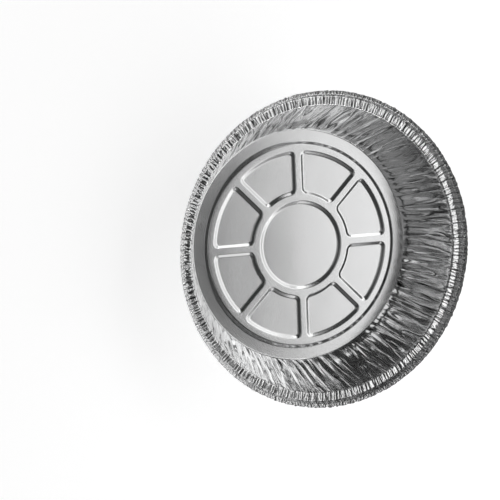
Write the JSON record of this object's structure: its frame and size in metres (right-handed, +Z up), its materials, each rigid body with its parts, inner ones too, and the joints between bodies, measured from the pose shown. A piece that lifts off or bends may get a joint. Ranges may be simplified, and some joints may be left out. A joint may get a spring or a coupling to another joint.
{
  "type": "foil pie tin",
  "caption": "Round foil pan with an embossed spoked base, a flared wall full of fine folds, and a crimped ledge and lip around its rim.",
  "frame": {"origin": "centre of the base's underside, on the surface that the tin stands on", "axes": "+Z up along the tin's axis, +X along the middle of one spoke of the embossed web"},
  "size_m": [0.2306, 0.2305, 0.0498],
  "materials": {
    "foil": "satin rolled foil"
  },
  "bodies": {
    "root": {"pie_tin": "foil"}
  },
  "joints": []
}
